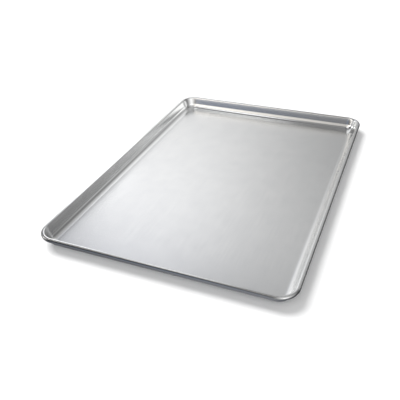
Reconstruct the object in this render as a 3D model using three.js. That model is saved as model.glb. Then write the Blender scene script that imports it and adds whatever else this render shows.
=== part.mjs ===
// Full-size sheet pan: one sheet of aluminium drawn into a shallow tray, its edge rolled over a wire.
// Millimetres, +Z up. The pan stands on Z = 0 with its long sides along Y, and the origin is the middle of
// its underside.
import * as THREE from "three";

// Driving dimensions
const RIM_LENGTH = 657; // over the rolled rim, along Y
const RIM_WIDTH = 454; // over the rolled rim, along X
const PAN_HEIGHT = 25.4; // from the underside to the top of the rim
const SHEET_THICKNESS = 1.0;
const WALL_FLARE = THREE.MathUtils.degToRad(18); // how far the walls lean out from the vertical
const COVE_RADIUS = 14; // between the floor and the walls, on the inside
const FLOOR_CORNER_RADIUS = 9.5; // at the corners of the flat floor, in plan
const WIRE_DIAMETER = 4.8;
const WIRE_CLEARANCE = 0.3; // between the wire and the sheet that is rolled round it
const WIRE_END_GAP = 1.5; // between the wire's two ends, which meet on a long side
const ROLLED_EDGE_GAP = 0.5; // between the sheet's rolled edge and the wall

// Facets
const CORNER_STEPS = 10;
const COVE_STEPS = 8;
const CURL_STEPS = 24;
const WIRE_SIDES = 16;

// The section across a wall lies in (out, up): out is measured from the edge of the flat floor, and up from
// the underside.
const wireRadius = WIRE_DIAMETER / 2;
const curlInside = wireRadius + WIRE_CLEARANCE;
const curlOutside = curlInside + SHEET_THICKNESS;
const coveCentre = new THREE.Vector2(0, SHEET_THICKNESS + COVE_RADIUS);
const curlCentre = placeCurl();

// The flat floor is what the walls and the rolled rim leave of the overall size.
const wallAndRim = curlCentre.x + curlOutside;
const floorHalfWidth = RIM_WIDTH / 2 - wallAndRim;
const floorHalfLength = RIM_LENGTH / 2 - wallAndRim;

const aluminium = new THREE.MeshStandardMaterial({ color: 0xc8cacb, roughness: 0.35, metalness: 1 });
const galvanisedSteel = new THREE.MeshStandardMaterial({ color: 0x8d9194, roughness: 0.5, metalness: 1 });

// The wall runs straight from the cove to the curl and is tangent to both, with the cove on its inside and
// the curl on its outside. The curl's height is known, so the wall's length follows from its lean.
function placeCurl() {
  const alongWall = new THREE.Vector2(Math.sin(WALL_FLARE), Math.cos(WALL_FLARE));
  const outOfWall = new THREE.Vector2(Math.cos(WALL_FLARE), -Math.sin(WALL_FLARE));
  const centre = coveCentre.clone().addScaledVector(outOfWall, COVE_RADIUS + curlOutside);
  const wallLength = (PAN_HEIGHT - curlOutside - centre.y) / alongWall.y;
  return centre.addScaledVector(alongWall, wallLength);
}

// One face of the sheet from the flat floor to the rolled edge: the cove, the straight wall, then the curl,
// which turns outwards over the wire and back under it until its edge is ROLLED_EDGE_GAP from the wall.
function sheetFace(coveRadius, curlRadius) {
  const closing = Math.acos((curlInside - ROLLED_EDGE_GAP) / curlOutside);
  const wallSide = Math.PI - WALL_FLARE;
  const rolledEdge = wallSide + closing;
  const cove = new THREE.EllipseCurve(
    coveCentre.x, coveCentre.y, coveRadius, coveRadius, -Math.PI / 2, -WALL_FLARE, false);
  const curl = new THREE.EllipseCurve(
    curlCentre.x, curlCentre.y, curlRadius, curlRadius, wallSide, rolledEdge, true);
  return [...cove.getPoints(COVE_STEPS), ...curl.getPoints(CURL_STEPS)];
}

// The rounded rectangle that a point of the section draws as it goes round the pan, counter-clockwise from
// the middle of the +X side. The corner arcs of every such outline share four centres. A gap opens the
// outline at the middle of that side.
function outline(out, gap = 0) {
  const radius = FLOOR_CORNER_RADIUS + out;
  const centreX = floorHalfWidth - FLOOR_CORNER_RADIUS;
  const centreY = floorHalfLength - FLOOR_CORNER_RADIUS;
  const quarters = [[1, 1], [-1, 1], [-1, -1], [1, -1]];
  const corners = quarters.flatMap(([sideX, sideY], quarter) => {
    const start = quarter * Math.PI / 2;
    const arc = new THREE.EllipseCurve(
      sideX * centreX, sideY * centreY, radius, radius, start, start + Math.PI / 2, false);
    return arc.getPoints(CORNER_STEPS);
  });
  if (gap === 0) return corners;
  const side = floorHalfWidth + out;
  return [new THREE.Vector2(side, gap / 2), ...corners, new THREE.Vector2(side, -gap / 2)];
}

// A closed solid from a section carried round the pan. A section that is a loop makes a bar with two ends,
// and one that is a line makes a tray whose first and last outlines are filled, as its floor's two faces.
function carryRound(section, sectionIsLoop, gap) {
  const rows = section.map(
    (point) => outline(point.x, gap).map((at) => new THREE.Vector3(at.x, at.y, point.y)));
  const columns = rows[0].length;
  const last = rows.length - 1;
  const index = [];
  const vertex = (row, column) => (row % rows.length) * columns + (column % columns);
  const fill = (loop) => {
    for (let k = 1; k < loop.length - 1; k++) index.push(loop[0], loop[k], loop[k + 1]);
  };

  for (let row = 0; row < (sectionIsLoop ? rows.length : last); row++) {
    for (let column = 0; column < (gap === 0 ? columns : columns - 1); column++) {
      const [a, b] = [vertex(row, column), vertex(row, column + 1)];
      const [c, d] = [vertex(row + 1, column + 1), vertex(row + 1, column)];
      index.push(a, d, c, a, c, b);
    }
  }
  if (sectionIsLoop) {
    fill(rows.map((_, row) => vertex(last - row, 0)));
    fill(rows.map((_, row) => vertex(row, columns - 1)));
  } else {
    fill(rows[0].map((_, column) => vertex(0, column)));
    fill(rows[last].map((_, column) => vertex(last, columns - 1 - column)));
  }

  const geometry = new THREE.BufferGeometry().setFromPoints(rows.flat());
  geometry.setIndex(index);
  geometry.computeVertexNormals();
  return geometry;
}

function namedMesh(name, geometry, material) {
  const mesh = new THREE.Mesh(geometry, material);
  mesh.name = name;
  return mesh;
}

// The drawn sheet: its upper face from the floor out to the rolled edge, then its lower face back again.
function panShell() {
  const upperFace = sheetFace(COVE_RADIUS, curlOutside);
  const lowerFace = sheetFace(COVE_RADIUS + SHEET_THICKNESS, curlInside);
  return carryRound([...upperFace, ...lowerFace.reverse()], false, 0);
}

// The wire inside the rim: one length, bent round the pan until its ends meet.
function rimWire() {
  const circle = new THREE.EllipseCurve(
    curlCentre.x, curlCentre.y, wireRadius, wireRadius, 0, 2 * Math.PI, true);
  return carryRound(circle.getPoints(WIRE_SIDES).slice(0, WIRE_SIDES), true, WIRE_END_GAP);
}

const sheetPan = new THREE.Group();
sheetPan.add(
  namedMesh("pan_shell", panShell(), aluminium),
  namedMesh("rim_wire", rimWire(), galvanisedSteel),
);

export default sheetPan;
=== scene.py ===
"""Dresses a full-size sheet pan: its drawn aluminium sheet, the wire in its rolled rim, and a plain studio.

Lengths are in metres. The pan stands on Z = 0 with its long sides along Y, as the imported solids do.
"""

import logging
import math
from dataclasses import dataclass, field
from enum import Enum

import bmesh
import bpy
from mathutils import Matrix, Vector


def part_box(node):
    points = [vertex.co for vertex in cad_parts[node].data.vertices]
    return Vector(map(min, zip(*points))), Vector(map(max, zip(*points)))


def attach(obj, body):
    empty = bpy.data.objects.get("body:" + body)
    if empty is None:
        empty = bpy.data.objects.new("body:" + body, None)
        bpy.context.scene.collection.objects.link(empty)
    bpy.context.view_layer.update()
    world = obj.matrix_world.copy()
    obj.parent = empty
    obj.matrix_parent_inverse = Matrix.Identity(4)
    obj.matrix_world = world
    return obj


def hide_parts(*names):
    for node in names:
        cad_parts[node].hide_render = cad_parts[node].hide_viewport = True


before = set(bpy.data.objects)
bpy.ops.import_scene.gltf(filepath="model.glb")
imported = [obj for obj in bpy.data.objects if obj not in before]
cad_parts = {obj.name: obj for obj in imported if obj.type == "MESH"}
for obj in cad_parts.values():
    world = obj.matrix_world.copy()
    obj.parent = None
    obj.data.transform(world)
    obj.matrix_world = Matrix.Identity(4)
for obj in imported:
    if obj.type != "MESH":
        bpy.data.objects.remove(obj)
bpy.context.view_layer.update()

MM = 0.001
MERGE_DISTANCE = 0.001 * MM
IMAGE_SIDE_PX = 400
SENSOR_WIDTH_MM = 36.0

# A Mix node's colour sockets share their names with its number sockets, so they go by number.
COLOUR_A = 6
COLOUR_B = 7
COLOUR_OUT = 2

log = logging.getLogger("sheet_pan")


def linear(colour: str) -> tuple[float, float, float, float]:
    """Turns an sRGB hex colour into linear light.

    Args:
        colour: Six hex digits, such as "c8cacb".

    Returns:
        Red, green, blue and an alpha of one.
    """
    shares = [int(colour[i : i + 2], 16) / 255 for i in (0, 2, 4)]
    red, green, blue = (c / 12.92 if c <= 0.04045 else ((c + 0.055) / 1.055) ** 2.4 for c in shares)
    return red, green, blue, 1.0


def add(
    tree: bpy.types.NodeTree, kind: str, fill: dict[str | int, object] | None = None, **settings: object
) -> bpy.types.Node:
    """Adds a node to a tree, sets it up and fills its inputs.

    Args:
        tree: The tree that gets the node.
        kind: The node's type.
        fill: Input name or number to a value, or to the output that is linked to it.
        settings: The node's own properties.

    Returns:
        The new node.
    """
    node = tree.nodes.new(kind)
    for name, value in settings.items():
        setattr(node, name, value)
    for key, value in (fill or {}).items():
        if isinstance(value, bpy.types.NodeSocket):
            tree.links.new(value, node.inputs[key])
        else:
            node.inputs[key].default_value = value
    return node


def new_shape_tree(name: str, sizes: dict[str, str]) -> tuple[bpy.types.NodeTree, bpy.types.Node]:
    """Starts a geometry tree that has named inputs and one geometry output.

    Args:
        name: The tree's name.
        sizes: Input name to socket type.

    Returns:
        The tree and the node that gives its inputs.
    """
    tree = bpy.data.node_groups.new(name, "GeometryNodeTree")
    for label, kind in sizes.items():
        tree.interface.new_socket(label, in_out="INPUT", socket_type=kind)
    tree.interface.new_socket("Shape", in_out="OUTPUT", socket_type="NodeSocketGeometry")
    return tree, tree.nodes.new("NodeGroupInput")


def finish_shape_tree(
    tree: bpy.types.NodeTree, shape: bpy.types.NodeSocket, metal: bpy.types.NodeSocket
) -> None:
    """Ends a geometry tree in one smooth realized mesh with its material.

    Args:
        tree: The tree to end.
        shape: The output that holds the shape.
        metal: The output that holds its material.
    """
    smooth = add(tree, "GeometryNodeSetShadeSmooth", {"Geometry": shape})
    whole = add(tree, "GeometryNodeRealizeInstances", {"Geometry": smooth.outputs[0]})
    dressed = add(tree, "GeometryNodeSetMaterial", {"Geometry": whole.outputs[0], "Material": metal})
    add(tree, "NodeGroupOutput", {"Shape": dressed.outputs[0]})


def run_shape_tree(tree: bpy.types.NodeTree, values: dict[str, object]) -> bpy.types.Mesh:
    """Evaluates a geometry tree once and keeps its result as a plain mesh.

    Args:
        tree: The tree to run.
        values: Input name to value.

    Returns:
        The mesh, with no modifier left.
    """
    carrier = bpy.data.objects.new(tree.name, bpy.data.meshes.new(tree.name))
    modifier = carrier.modifiers.new("shape", "NODES")
    modifier.node_group = tree
    for item in tree.interface.items_tree:
        if item.in_out == "INPUT":
            modifier[item.identifier] = values[item.name]
    bpy.context.scene.collection.objects.link(carrier)
    evaluated = carrier.evaluated_get(bpy.context.evaluated_depsgraph_get())
    mesh = bpy.data.meshes.new_from_object(evaluated)
    carrier.modifiers.remove(modifier)
    bpy.data.objects.remove(carrier)
    return mesh


@dataclass(frozen=True)
class Corner:
    """A corner of a drawn line, and the radius that rounds it."""

    x: float
    y: float
    radius: float = 0.0


def corner_line(name: str, corners: list[Corner]) -> bpy.types.Object:
    """Draws an open line of straight runs whose points carry their rounding radius.

    Args:
        name: The line's name.
        corners: Its corners in order.

    Returns:
        A curve object, which a geometry tree reads and which is deleted afterwards.
    """
    curve = bpy.data.curves.new(name, "CURVE")
    curve.dimensions = "3D"
    spline = curve.splines.new("POLY")
    spline.points.add(len(corners) - 1)
    for point, corner in zip(spline.points, corners):
        point.co = (corner.x, corner.y, 0.0, 1.0)
        point.radius = corner.radius
    line = bpy.data.objects.new(name, curve)
    bpy.context.scene.collection.objects.link(line)
    return line


@dataclass(frozen=True)
class RolledAluminium:
    """Bare aluminium sheet, cold rolled between ground rolls and drawn into a pan with no coating.

    The rolls leave a fine grain along the sheet, which gives the flat floor its satin sheen and blurs what it
    mirrors. The drawing die irons the walls smoother, and the wheel that curls the rim burnishes it, so both
    mirror more sharply. A thin oxide clouds the metal here and there.
    """

    clean_colour: str = "f6f6f5"
    clouded_colour: str = "e4e5e6"
    floor_roughness: float = 0.25
    wall_roughness: float = 0.15
    rim_roughness: float = 0.20
    roughness_range: float = 0.02
    wall_height: float = 7 * MM
    rim_start: float = 18 * MM
    rim_height: float = 21 * MM
    # The real grain is about 0.1 mm wide. It is drawn twenty times as wide, so that it shows at all.
    grain_width: float = 2.0 * MM
    grain_length: float = 90 * MM
    cloud_size: float = 30 * MM
    cloud_share: float = 0.5
    detail: float = 3.0
    seed: float = 4.0

    def material(self) -> bpy.types.Material:
        """Makes the node material.

        Returns:
            The material, ready for a piece.
        """
        material = bpy.data.materials.new("rolled_aluminium")
        material.use_nodes = True
        tree = material.node_tree
        shader = tree.nodes["Principled BSDF"]
        shader.inputs["Metallic"].default_value = 1.0
        place = add(tree, "ShaderNodeTexCoord").outputs["Object"]
        grain_scale = (1 / self.grain_width, 1 / self.grain_length, 1 / self.grain_length)
        along = add(tree, "ShaderNodeMapping", {"Vector": place, "Scale": grain_scale})
        grain = add(tree, "ShaderNodeTexNoise", {
            "Vector": along.outputs[0],
            "W": self.seed,
            "Scale": 1.0,
            "Detail": self.detail,
        }, noise_dimensions="4D")
        cloud = add(tree, "ShaderNodeTexNoise", {
            "Vector": place,
            "W": self.seed,
            "Scale": 1 / self.cloud_size,
            "Detail": self.detail,
        }, noise_dimensions="4D")
        oxide = add(tree, "ShaderNodeMix", {
            "Factor": self.cloud_share,
            "A": grain.outputs["Fac"],
            "B": cloud.outputs["Fac"],
        }, data_type="FLOAT")
        colour = add(tree, "ShaderNodeMix", {
            "Factor": oxide.outputs[0],
            COLOUR_A: linear(self.clean_colour),
            COLOUR_B: linear(self.clouded_colour),
        }, data_type="RGBA")
        tree.links.new(colour.outputs[COLOUR_OUT], shader.inputs["Base Color"])
        height = add(tree, "ShaderNodeSeparateXYZ", {0: place}).outputs["Z"]
        wall = add(tree, "ShaderNodeMapRange", {
            "Value": height,
            "From Max": self.wall_height,
            "To Min": self.floor_roughness,
            "To Max": self.wall_roughness,
        }, interpolation_type="SMOOTHSTEP")
        rim = add(tree, "ShaderNodeMapRange", {
            "Value": height,
            "From Min": self.rim_start,
            "From Max": self.rim_height,
            "To Min": 0.0,
            "To Max": self.rim_roughness - self.wall_roughness,
        }, interpolation_type="SMOOTHSTEP")
        made = add(tree, "ShaderNodeMath", {0: wall.outputs[0], 1: rim.outputs[0]})
        uneven = add(tree, "ShaderNodeMapRange", {
            "Value": oxide.outputs[0],
            "To Min": -self.roughness_range / 2,
            "To Max": self.roughness_range / 2,
        })
        rough = add(tree, "ShaderNodeMath", {0: made.outputs[0], 1: uneven.outputs[0]})
        tree.links.new(rough.outputs[0], shader.inputs["Roughness"])
        return material


@dataclass(frozen=True)
class ZincCoatedWire:
    """Drawn steel wire, dipped in zinc, whose crystals dull it in patches of slightly different greys."""

    light_colour: str = "b9bdc0"
    dark_colour: str = "92979b"
    low_roughness: float = 0.42
    high_roughness: float = 0.62
    crystal_size: float = 3 * MM

    def material(self) -> bpy.types.Material:
        """Makes the node material.

        Returns:
            The material, ready for a piece.
        """
        material = bpy.data.materials.new("zinc_coated_wire")
        material.use_nodes = True
        tree = material.node_tree
        shader = tree.nodes["Principled BSDF"]
        shader.inputs["Metallic"].default_value = 1.0
        place = add(tree, "ShaderNodeTexCoord").outputs["Object"]
        crystals = add(tree, "ShaderNodeTexVoronoi", {"Vector": place, "Scale": 1 / self.crystal_size})
        shade = add(tree, "ShaderNodeSeparateXYZ", {0: crystals.outputs["Color"]})
        colour = add(tree, "ShaderNodeMix", {
            "Factor": shade.outputs["X"],
            COLOUR_A: linear(self.light_colour),
            COLOUR_B: linear(self.dark_colour),
        }, data_type="RGBA")
        dullness = add(tree, "ShaderNodeMapRange", {
            "Value": shade.outputs["Y"],
            "To Min": self.low_roughness,
            "To Max": self.high_roughness,
        })
        tree.links.new(colour.outputs[COLOUR_OUT], shader.inputs["Base Color"])
        tree.links.new(dullness.outputs[0], shader.inputs["Roughness"])
        return material


@dataclass(frozen=True)
class MattPaint:
    """White matt paint, rolled on a flat board, whose faint texture leaves it almost even."""

    light_colour: str = "f3f3f3"
    dark_colour: str = "efefef"
    roughness: float = 0.9
    specular_level: float = 0.2
    texture_size: float = 6 * MM

    def material(self) -> bpy.types.Material:
        """Makes the node material.

        Returns:
            The material, ready for a piece.
        """
        material = bpy.data.materials.new("rolled_matt_paint")
        material.use_nodes = True
        tree = material.node_tree
        shader = tree.nodes["Principled BSDF"]
        shader.inputs["Roughness"].default_value = self.roughness
        shader.inputs["Specular IOR Level"].default_value = self.specular_level
        place = add(tree, "ShaderNodeTexCoord").outputs["Object"]
        stipple = add(tree, "ShaderNodeTexNoise", {"Vector": place, "Scale": 1 / self.texture_size})
        colour = add(tree, "ShaderNodeMix", {
            "Factor": stipple.outputs["Fac"],
            COLOUR_A: linear(self.light_colour),
            COLOUR_B: linear(self.dark_colour),
        }, data_type="RGBA")
        tree.links.new(colour.outputs[COLOUR_OUT], shader.inputs["Base Color"])
        return material


@dataclass
class PanSheet:
    """The drawn sheet: flat floor, cove, flared walls, corners and rolled rim in one thickness of metal."""

    rim_size: Vector
    wire_radius: float
    thickness: float = 1.0 * MM
    wire_clearance: float = 0.3 * MM
    flare: float = math.radians(18)
    cove_radius: float = 14 * MM
    floor_corner_radius: float = 9.5 * MM
    rolled_edge_gap: float = 0.5 * MM
    edge_radius: float = 0.15 * MM
    run_in: float = 0.5 * MM
    corner_steps: int = 32
    section_steps: int = 20
    wall_turn: float = field(init=False)
    curl_inside: float = field(init=False)
    curl_outside: float = field(init=False)
    curl_centre: Vector = field(init=False)
    floor_width: float = field(init=False)
    floor_length: float = field(init=False)

    def __post_init__(self) -> None:
        """Places the curl, which is tangent to the straight wall, and so the edge of the flat floor."""
        self.wall_turn = math.pi / 2 - self.flare
        self.curl_inside = self.wire_radius + self.wire_clearance
        self.curl_outside = self.curl_inside + self.thickness
        out_of_wall = Vector((math.cos(self.flare), -math.sin(self.flare)))
        along_wall = Vector((math.sin(self.flare), math.cos(self.flare)))
        cove_centre = Vector((0.0, self.thickness + self.cove_radius))
        beside_cove = cove_centre + out_of_wall * (self.cove_radius + self.curl_outside)
        curl_height = self.rim_size.z - self.curl_outside
        wall_length = (curl_height - beside_cove.y) / along_wall.y
        self.curl_centre = beside_cove + along_wall * wall_length
        wall_and_rim = self.curl_centre.x + self.curl_outside
        self.floor_width = self.rim_size.x - 2 * wall_and_rim
        self.floor_length = self.rim_size.y - 2 * wall_and_rim

    def face(self, cove: float, curl: float, height: float) -> list[Corner]:
        """Draws one face of the sheet, from the flat floor to the rolled edge.

        Args:
            cove: The cove's radius on this face.
            curl: The curl's radius on this face.
            height: The floor's height on this face.

        Returns:
            The face's corners, as distance out from the floor's edge and height.
        """
        centre = self.curl_centre
        half_turn = math.tan(self.wall_turn / 2)
        closing = math.acos((self.curl_inside - self.rolled_edge_gap) / self.curl_outside)
        edge_angle = math.pi - self.flare + closing
        last_turn = 1.5 * math.pi - edge_angle
        towards_edge = Vector((math.sin(edge_angle), -math.cos(edge_angle)))
        edge = centre + curl * Vector((math.cos(edge_angle), math.sin(edge_angle)))
        edge += towards_edge * 2 * self.edge_radius
        along_wall = Vector((math.sin(self.flare), math.cos(self.flare)))
        into_pan = Vector((-math.cos(self.flare), math.sin(self.flare)))
        wall_foot = Vector((0.0, height + cove)) - cove * into_pan + self.run_in * along_wall
        wall_head = centre + curl * into_pan - self.run_in * along_wall
        return [
            Corner(-self.run_in, height),
            Corner(cove * half_turn, height, cove),
            Corner(wall_foot.x, wall_foot.y),
            Corner(wall_head.x, wall_head.y),
            Corner(centre.x - curl * half_turn, centre.y + curl, curl),
            Corner(centre.x + curl, centre.y + curl, curl),
            Corner(centre.x + curl, centre.y - curl, curl),
            Corner(centre.x - curl * math.tan(last_turn / 2), centre.y - curl, curl),
            Corner(edge.x, edge.y, self.edge_radius),
        ]

    def section(self) -> list[Corner]:
        """Draws the sheet's section: out along its upper face, round its edge, back along its lower face.

        Returns:
            The section's corners in order.
        """
        upper = self.face(self.cove_radius, self.curl_outside, self.thickness)
        lower = self.face(self.cove_radius + self.thickness, self.curl_inside, 0.0)
        return upper + lower[::-1]

    def tree(self) -> bpy.types.NodeTree:
        """Makes the tree that carries a section round the floor's edge.

        Returns:
            The tree.
        """
        tree, given = new_shape_tree("drawn_sheet", {
            "Section": "NodeSocketObject",
            "Section Steps": "NodeSocketInt",
            "Floor Width": "NodeSocketFloat",
            "Floor Length": "NodeSocketFloat",
            "Corner Radius": "NodeSocketFloat",
            "Corner Steps": "NodeSocketInt",
            "Metal": "NodeSocketMaterial",
        })
        size = given.outputs
        line = add(tree, "GeometryNodeObjectInfo", {"Object": size["Section"]})
        radius = add(tree, "GeometryNodeInputRadius")
        section = add(tree, "GeometryNodeFilletCurve", {
            "Curve": line.outputs["Geometry"],
            "Count": size["Section Steps"],
            "Radius": radius.outputs[0],
        }, mode="POLY")
        upright = add(tree, "GeometryNodeTransform", {
            "Geometry": section.outputs[0],
            "Rotation": (math.pi, 0.0, 0.0),
        })
        rectangle = add(tree, "GeometryNodeCurvePrimitiveQuadrilateral", {
            "Width": size["Floor Width"],
            "Height": size["Floor Length"],
        })
        floor_edge = add(tree, "GeometryNodeFilletCurve", {
            "Curve": rectangle.outputs[0],
            "Count": size["Corner Steps"],
            "Radius": size["Corner Radius"],
        }, mode="POLY")
        level = add(tree, "GeometryNodeSetCurveNormal", {"Curve": floor_edge.outputs[0]}, mode="Z_UP")
        swept = add(tree, "GeometryNodeCurveToMesh", {
            "Curve": level.outputs[0],
            "Profile Curve": upright.outputs[0],
        })
        finish_shape_tree(tree, swept.outputs[0], size["Metal"])
        return tree

    def corner_planes(self) -> list[tuple[Vector, Vector]]:
        """Places a cut just beside every corner, so that the long straight sides shade flat up to it.

        Returns:
            A point and a normal for each cut.
        """
        inset = self.floor_corner_radius + self.run_in
        reach = Vector((self.floor_width / 2 - inset, self.floor_length / 2 - inset, 0.0))
        axes = [Vector(axis) for axis in ((1, 0, 0), (-1, 0, 0), (0, 1, 0), (0, -1, 0))]
        return [(axis * abs(axis.dot(reach)), axis) for axis in axes]

    def build(self, metal: bpy.types.Material) -> bpy.types.Object:
        """Builds the sheet as one closed mesh.

        Args:
            metal: Its finish.

        Returns:
            The sheet's object.
        """
        line = corner_line("sheet_section", self.section())
        mesh = run_shape_tree(self.tree(), {
            "Section": line,
            "Section Steps": self.section_steps,
            "Floor Width": self.floor_width,
            "Floor Length": self.floor_length,
            "Corner Radius": self.floor_corner_radius,
            "Corner Steps": self.corner_steps,
            "Metal": metal,
        })
        bpy.data.objects.remove(line)
        close_mesh(mesh, self.corner_planes())
        sheet = bpy.data.objects.new("aluminium_sheet", mesh)
        bpy.context.scene.collection.objects.link(sheet)
        return sheet


@dataclass
class RimWire:
    """The wire inside the rolled rim: one length, bent round the pan until its ends meet on a long side."""

    sheet: PanSheet
    end_gap: float = 1.5 * MM
    bend_steps: int = 24
    sides: int = 32

    def path(self) -> list[Corner]:
        """Draws the wire's middle line, from one end round the four corners to the other end.

        Returns:
            The line's corners in order.
        """
        out = self.sheet.curl_centre.x
        x = self.sheet.floor_width / 2 + out
        y = self.sheet.floor_length / 2 + out
        bend = self.sheet.floor_corner_radius + out
        bends = [Corner(x, y, bend), Corner(-x, y, bend), Corner(-x, -y, bend), Corner(x, -y, bend)]
        return [Corner(x, self.end_gap / 2), *bends, Corner(x, -self.end_gap / 2)]

    def tree(self) -> bpy.types.NodeTree:
        """Makes the tree that bends a round wire along a path.

        Returns:
            The tree.
        """
        tree, given = new_shape_tree("bent_wire", {
            "Path": "NodeSocketObject",
            "Height": "NodeSocketVector",
            "Wire Radius": "NodeSocketFloat",
            "Wire Sides": "NodeSocketInt",
            "Bend Steps": "NodeSocketInt",
            "Metal": "NodeSocketMaterial",
        })
        size = given.outputs
        line = add(tree, "GeometryNodeObjectInfo", {"Object": size["Path"]})
        radius = add(tree, "GeometryNodeInputRadius")
        bent = add(tree, "GeometryNodeFilletCurve", {
            "Curve": line.outputs["Geometry"],
            "Count": size["Bend Steps"],
            "Radius": radius.outputs[0],
        }, mode="POLY")
        raised = add(tree, "GeometryNodeTransform", {
            "Geometry": bent.outputs[0],
            "Translation": size["Height"],
        })
        even = add(tree, "GeometryNodeSetCurveRadius", {"Curve": raised.outputs[0], "Radius": 1.0})
        circle = add(tree, "GeometryNodeCurvePrimitiveCircle", {
            "Resolution": size["Wire Sides"],
            "Radius": size["Wire Radius"],
        })
        swept = add(tree, "GeometryNodeCurveToMesh", {
            "Curve": even.outputs[0],
            "Profile Curve": circle.outputs[0],
            "Fill Caps": True,
        })
        finish_shape_tree(tree, swept.outputs[0], size["Metal"])
        return tree

    def build(self, metal: bpy.types.Material) -> bpy.types.Object:
        """Builds the wire as one closed mesh.

        Args:
            metal: Its finish.

        Returns:
            The wire's object.
        """
        line = corner_line("wire_path", self.path())
        mesh = run_shape_tree(self.tree(), {
            "Path": line,
            "Height": (0.0, 0.0, self.sheet.curl_centre.y),
            "Wire Radius": self.sheet.wire_radius,
            "Wire Sides": self.sides,
            "Bend Steps": self.bend_steps,
            "Metal": metal,
        })
        bpy.data.objects.remove(line)
        close_mesh(mesh, [])
        wire = bpy.data.objects.new("galvanised_wire", mesh)
        bpy.context.scene.collection.objects.link(wire)
        return wire


def close_mesh(mesh: bpy.types.Mesh, cuts: list[tuple[Vector, Vector]]) -> None:
    """Fills the open edges of a mesh with flat faces and turns every face outwards.

    Args:
        mesh: The mesh, which is changed in place.
        cuts: Planes, each a point and a normal, along which its faces are divided.
    """
    work = bmesh.new()
    work.from_mesh(mesh)
    bmesh.ops.remove_doubles(work, verts=work.verts, dist=MERGE_DISTANCE)
    bmesh.ops.holes_fill(work, edges=[edge for edge in work.edges if edge.is_boundary])
    for point, normal in cuts:
        everything = [*work.verts, *work.edges, *work.faces]
        bmesh.ops.bisect_plane(work, geom=everything, dist=MERGE_DISTANCE, plane_co=point, plane_no=normal)
    bmesh.ops.recalc_face_normals(work, faces=work.faces)
    for face in work.faces:
        face.smooth = True
    work.to_mesh(mesh)
    work.free()


@dataclass(frozen=True)
class PhotoCamera:
    """The camera, at the photograph's place and lens."""

    focal_px: float = 528.97
    azimuth: float = math.radians(23.235)
    elevation: float = math.radians(33.226)
    roll: float = math.radians(-1.834)
    distance: float = 1024.75 * MM
    aim: tuple[float, float, float] = (-16.46 * MM, -92.42 * MM, 0.0)

    def build(self) -> None:
        """Makes the scene's camera."""
        level = math.cos(self.elevation)
        sine = math.sin(self.azimuth)
        cosine = math.cos(self.azimuth)
        back = Vector((sine * level, -cosine * level, math.sin(self.elevation)))
        right = Vector((cosine, sine, 0.0))
        turn = Matrix((right, back.cross(right), back)).transposed() @ Matrix.Rotation(self.roll, 3, "Z")
        lens = bpy.data.cameras.new("camera")
        lens.sensor_width = SENSOR_WIDTH_MM
        lens.lens = self.focal_px / IMAGE_SIDE_PX * SENSOR_WIDTH_MM
        camera = bpy.data.objects.new("camera", lens)
        camera.matrix_world = Matrix.Translation(Vector(self.aim) + back * self.distance) @ turn.to_4x4()
        bpy.context.scene.collection.objects.link(camera)
        bpy.context.scene.camera = camera


def direction(azimuth: float, elevation: float) -> Vector:
    """Points from the pan to a light.

    Args:
        azimuth: Degrees from +Y towards +X.
        elevation: Degrees above the table.

    Returns:
        The direction, of length one.
    """
    level = math.cos(math.radians(elevation))
    turn = math.radians(azimuth)
    return Vector((level * math.sin(turn), level * math.cos(turn), math.sin(math.radians(elevation))))


class LightReach(Enum):
    """Which surfaces a light shines on."""

    METAL = "metal"
    TABLE = "table"


@dataclass(frozen=True)
class SoftGlow:
    """A soft light far from the pan, brightest in its middle and fading all round.

    Its angles are in degrees, and its width is the distance from its middle where it falls to a third.
    """

    azimuth: float
    elevation: float
    width: float
    strength: float
    colour: str = "ffffff"

    def shine(
        self, tree: bpy.types.NodeTree, ray: bpy.types.NodeSocket, light: bpy.types.NodeSocket | None
    ) -> bpy.types.NodeSocket:
        """Adds the glow to the light of a world.

        Args:
            tree: The world's tree.
            ray: The output that holds the direction looked in.
            light: The output that holds the light so far, or None before the first glow.

        Returns:
            The output that holds the light with this glow.
        """
        sharpness = 1 / (1 - math.cos(math.radians(self.width)))
        colour = [self.strength * share for share in linear(self.colour)[:3]]
        towards = direction(self.azimuth, self.elevation)
        nearness = add(tree, "ShaderNodeVectorMath", {0: ray, 1: towards}, operation="DOT_PRODUCT")
        fall = {0: nearness.outputs["Value"], 1: sharpness, 2: -sharpness}
        fading = add(tree, "ShaderNodeMath", fall, operation="MULTIPLY_ADD")
        glow = add(tree, "ShaderNodeMath", {0: fading.outputs[0]}, operation="EXPONENT")
        total = {0: glow.outputs[0], 1: colour, 2: light or (0.0, 0.0, 0.0)}
        return add(tree, "ShaderNodeVectorMath", total, operation="MULTIPLY_ADD").outputs[0]


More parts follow.
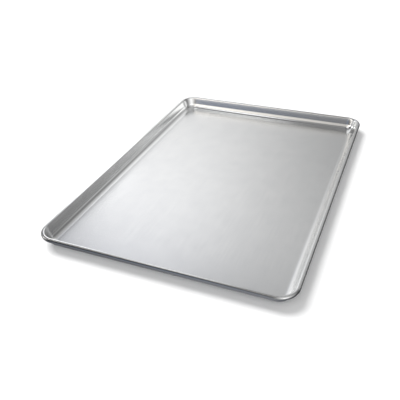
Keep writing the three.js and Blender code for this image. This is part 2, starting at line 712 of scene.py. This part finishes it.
@dataclass(frozen=True)
class SoftBox:
    """A flat soft box near the pan, whose light rises and falls smoothly across its face.

    Seen from the pan, its first edge is on the right. Each pair of powers is for the two ends of one side: a
    power of 0 leaves that end at full strength, and a larger one makes a longer fade.
    """

    name: str
    centre: tuple[float, float, float]
    aim: tuple[float, float, float]
    width: float
    height: float
    strength: float
    across: tuple[float, float]
    upwards: tuple[float, float]
    colour: str = "ffffff"

    def fade(
        self, tree: bpy.types.NodeTree, place: bpy.types.NodeSocket, powers: tuple[float, float]
    ) -> bpy.types.NodeSocket:
        """Adds the fade along one side of the box.

        Args:
            tree: The light's tree.
            place: The output that runs from 0 to 1 along the side.
            powers: How fast the light fades towards the side's start and its end.

        Returns:
            The output that holds the fade, 1 where the light is strongest.
        """
        peak = powers[0] / sum(powers) if any(powers) else 0.0
        top = peak ** powers[0] * (1 - peak) ** powers[1]
        other = add(tree, "ShaderNodeMath", {0: 1.0, 1: place}, operation="SUBTRACT")
        rise = add(tree, "ShaderNodeMath", {0: place, 1: powers[0]}, operation="POWER")
        fall = add(tree, "ShaderNodeMath", {0: other.outputs[0], 1: powers[1]}, operation="POWER")
        both = add(tree, "ShaderNodeMath", {0: rise.outputs[0], 1: fall.outputs[0]}, operation="MULTIPLY")
        return add(tree, "ShaderNodeMath", {0: both.outputs[0], 1: top}, operation="DIVIDE").outputs[0]

    def build(self) -> None:
        """Makes the box as a one-sided area light."""
        light = bpy.data.lights.new(self.name, "AREA")
        light.shape = "RECTANGLE"
        light.size = self.width
        light.size_y = self.height
        light.energy = self.strength * math.pi * self.width * self.height
        light.color = linear(self.colour)[:3]
        light.use_nodes = True
        tree = light.node_tree
        face = add(tree, "ShaderNodeNewGeometry")
        place = add(tree, "ShaderNodeSeparateXYZ", {0: face.outputs["Parametric"]})
        across = self.fade(tree, place.outputs["X"], self.across)
        upwards = self.fade(tree, place.outputs["Y"], self.upwards)
        both = add(tree, "ShaderNodeMath", {0: across, 1: upwards}, operation="MULTIPLY")
        tree.links.new(both.outputs[0], tree.nodes["Emission"].inputs["Strength"])
        box = bpy.data.objects.new(self.name, light)
        box.location = self.centre
        away = Vector(self.centre) - Vector(self.aim)
        box.rotation_euler = away.to_track_quat("Z", "Y").to_euler()
        limit_light(box, LightReach.METAL)


@dataclass(frozen=True)
class TableLight:
    """A distant light for the table alone.

    Its angles are in degrees, and its width is the angle that it fills.
    """

    name: str
    azimuth: float
    elevation: float
    width: float
    strength: float

    def build(self) -> None:
        """Makes the light."""
        light = bpy.data.lights.new(self.name, "SUN")
        light.energy = self.strength
        light.angle = math.radians(self.width)
        source = bpy.data.objects.new(self.name, light)
        towards = direction(self.azimuth, self.elevation)
        source.rotation_euler = towards.to_track_quat("Z", "Y").to_euler()
        limit_light(source, LightReach.TABLE)


def limit_light(source: bpy.types.Object, reach: LightReach) -> None:
    """Links a light to the scene and keeps it off the surfaces that it isn't meant for.

    Args:
        source: The light's object.
        reach: The surfaces that it shines on.
    """
    source.visible_camera = False
    source.visible_diffuse = reach is LightReach.TABLE
    source.visible_glossy = reach is LightReach.METAL
    bpy.context.scene.collection.objects.link(source)


@dataclass(frozen=True)
class Studio:
    """The plain white table, the soft light round it, and the camera's tone curve."""

    glows: tuple[SoftGlow, ...] = (
        # The white room behind the pan, which its floor mirrors.
        SoftGlow(338, 38, 32, 0.23),
        SoftGlow(345, 18, 12, 0.19),
        SoftGlow(352, 42, 14, 0.25),
        # Cool daylight from the left, which tints the floor's front left corner.
        SoftGlow(320, 46, 12, 0.12, "7fa8ff"),
        # The room behind on the right, which the left wall and its cove mirror.
        SoftGlow(8, 44, 9, 0.25),
        SoftGlow(15, 28, 14, 0.40),
        SoftGlow(39, 16, 12, 0.58),
        # The room on the left, which the right wall and its cove mirror.
        SoftGlow(280, 18, 26, 0.25),
        SoftGlow(250, 10, 14, 0.60),
        # The room on the right, which lights the rounds of the rim and most of all its front right corner.
        SoftGlow(75, 30, 16, 0.14),
        SoftGlow(100, 20, 18, 0.20),
        SoftGlow(135, 24, 36, 0.84),
        SoftGlow(130, 28, 16, 0.75),
        # The ceiling, which the back cove and the top of the rim mirror.
        SoftGlow(100, 80, 16, 0.50),
        SoftGlow(60, 62, 20, 0.33),
        SoftGlow(234, 65, 12, 0.30),
        # The dim front of the room, which is the blue-grey band in the back wall.
        SoftGlow(200, 4, 10, 0.34, "a4bfe8"),
        # The bright table behind and beside the pan, which the outer half of the rim mirrors.
        SoftGlow(320, -17, 14, 1.5),
        SoftGlow(280, -25, 20, 0.3),
        # The shaded table in front of the pan and under it.
        SoftGlow(184, -14, 12, 0.08),
        SoftGlow(328, -70, 14, 0.22),
        SoftGlow(195, -38, 32, 0.24, "dfe3ee"),
        SoftGlow(0, -90, 60, 0.16, "dfe3ee"),
    )
    boxes: tuple[SoftBox, ...] = (
        # Over the pan's front edge: the bright bands of the back wall.
        SoftBox(
            name="front_box",
            centre=(-0.15, -0.36, 0.695),
            aim=(-0.15, 0.0, 0.695),
            width=2.1,
            height=1.01,
            strength=3.0,
            across=(0.0, 2.0),
            upwards=(0.0, 0.0),
            colour="fffaf3",
        ),
        # Behind the pan on the left: the sheen that fades across the floor.
        SoftBox(
            name="back_box",
            centre=(-0.425, 0.835, 0.62),
            aim=(0.0, 0.0, 0.62),
            width=1.69,
            height=1.2,
            strength=0.80,
            across=(3.0, 1.6),
            upwards=(0.5, 0.6),
        ),
        # Low on the left: the white line along the left and front rim.
        SoftBox(
            name="side_box",
            centre=(-0.64, 0.34, 0.17),
            aim=(-0.1, -0.1, 0.0),
            width=0.36,
            height=0.3,
            strength=2.2,
            across=(0.5, 0.5),
            upwards=(0.5, 0.5),
        ),
        # High on the left: the white line at the back wall's foot.
        SoftBox(
            name="top_box",
            centre=(-0.394, 0.069, 1.1),
            aim=(0.0, 0.0, 0.0),
            width=0.5,
            height=0.5,
            strength=1.35,
            across=(0.5, 0.5),
            upwards=(0.5, 0.5),
        ),
    )
    table_lights: tuple[TableLight, ...] = (
        # The key throws the shadow to the right and the front, and the fill lightens it.
        TableLight("table_key", azimuth=289.0, elevation=52.0, width=37.0, strength=2.9),
        TableLight("table_fill", azimuth=178.0, elevation=34.0, width=70.0, strength=1.75),
    )
    backdrop: str = "ffffff"
    # So wide that its edge lies at the horizon, where it meets the backdrop.
    table_half: float = 60.0
    table_drop: float = 0.2 * MM

    def build_world(self) -> None:
        """Makes the world: a plain backdrop to the camera, and the sum of the glows to the metal."""
        world = bpy.data.worlds.new("studio")
        world.use_nodes = True
        tree = world.node_tree
        ray = add(tree, "ShaderNodeTexCoord").outputs["Generated"]
        light = None
        for glow in self.glows:
            light = glow.shine(tree, ray, light)
        seen = add(tree, "ShaderNodeMix", {
            "Factor": add(tree, "ShaderNodeLightPath").outputs["Is Camera Ray"],
            COLOUR_A: light,
            COLOUR_B: linear(self.backdrop),
        }, data_type="RGBA")
        tree.links.new(seen.outputs[COLOUR_OUT], tree.nodes["Background"].inputs["Color"])
        bpy.context.scene.world = world

    def build_table(self, paint: bpy.types.Material) -> None:
        """Makes the table as one flat face just under the pan.

        Args:
            paint: The table's finish.
        """
        work = bmesh.new()
        bmesh.ops.create_grid(work, x_segments=1, y_segments=1, size=self.table_half)
        bmesh.ops.translate(work, vec=(0.0, 0.0, -self.table_drop), verts=work.verts)
        mesh = bpy.data.meshes.new("table")
        work.to_mesh(mesh)
        work.free()
        mesh.materials.append(paint)
        table = bpy.data.objects.new("table", mesh)
        bpy.context.scene.collection.objects.link(table)
        table.visible_glossy = False

    def build(self, paint: bpy.types.Material) -> None:
        """Builds the table and the lights, and sets the tone curve.

        Args:
            paint: The table's finish.
        """
        self.build_table(paint)
        self.build_world()
        for box in self.boxes:
            box.build()
        for light in self.table_lights:
            light.build()
        bpy.context.scene.view_settings.view_transform = "Standard"


def hand_over(piece: bpy.types.Object, node: str) -> None:
    """Puts a finished piece in the place of its solid.

    Args:
        piece: The piece.
        node: The solid that it replaces.
    """
    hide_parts(node)
    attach(piece, "root")
    log.info("%s: %d faces for %s", piece.name, len(piece.data.polygons), node)


def main() -> None:
    """Builds the pan and its studio in order."""
    logging.basicConfig(level=logging.INFO, format="%(name)s: %(message)s")
    rim_low, rim_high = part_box("pan_shell")
    wire_low, wire_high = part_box("rim_wire")
    sheet = PanSheet(rim_high - rim_low, (wire_high.z - wire_low.z) / 2)
    hand_over(sheet.build(RolledAluminium().material()), "pan_shell")
    hand_over(RimWire(sheet).build(ZincCoatedWire().material()), "rim_wire")
    Studio().build(MattPaint().material())
    PhotoCamera().build()


if __name__ == "__main__":
    main()
